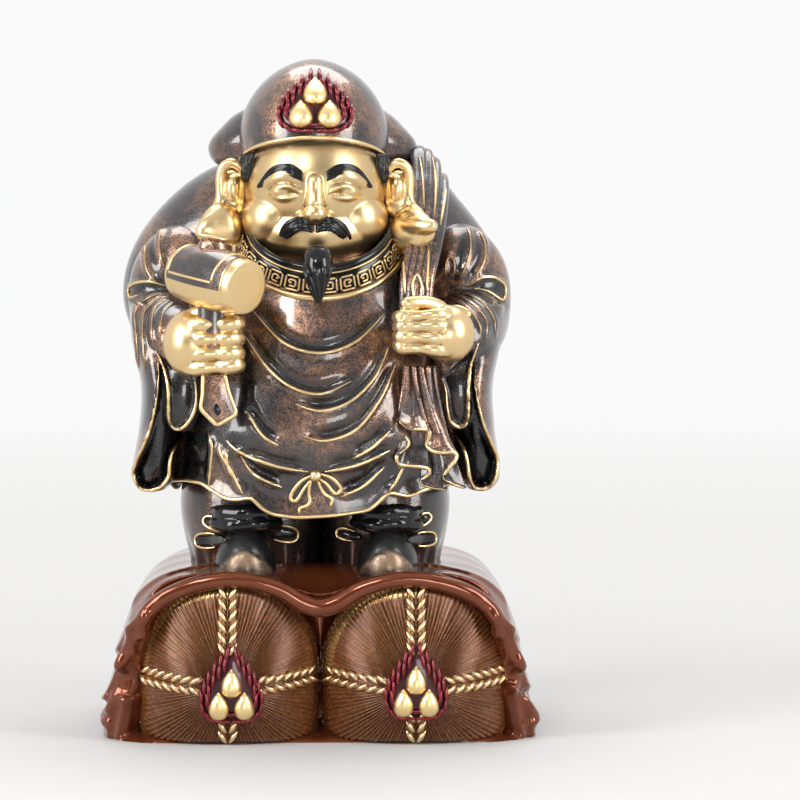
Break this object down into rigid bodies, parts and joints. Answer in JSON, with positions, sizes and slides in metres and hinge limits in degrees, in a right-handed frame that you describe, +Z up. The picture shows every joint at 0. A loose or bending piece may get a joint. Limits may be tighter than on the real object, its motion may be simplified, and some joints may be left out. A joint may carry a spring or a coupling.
{
  "type": "daikoku figure",
  "caption": "Standing god of fortune in a round cap, with a mallet and a sack, on rice bales draped with a cloth; a painted bronze table ornament.",
  "frame": {"origin": "middle of the base's flat underside", "axes": "+Z up; the figure faces -Y; +X is on the right as seen from in front"},
  "size_m": [0.136, 0.114, 0.207],
  "materials": {
    "dark_bronze": "gloss umber and black with copper speckle, folds edged in gold",
    "gold_finish": "satin gold",
    "brown_bronze": "gloss red-brown",
    "black_lacquer": "gloss black",
    "red_enamel": "gloss red"
  },
  "bodies": {
    "root": {"figure": "dark_bronze", "mallet": "gold_finish", "bale_base": "brown_bronze"}
  },
  "joints": []
}
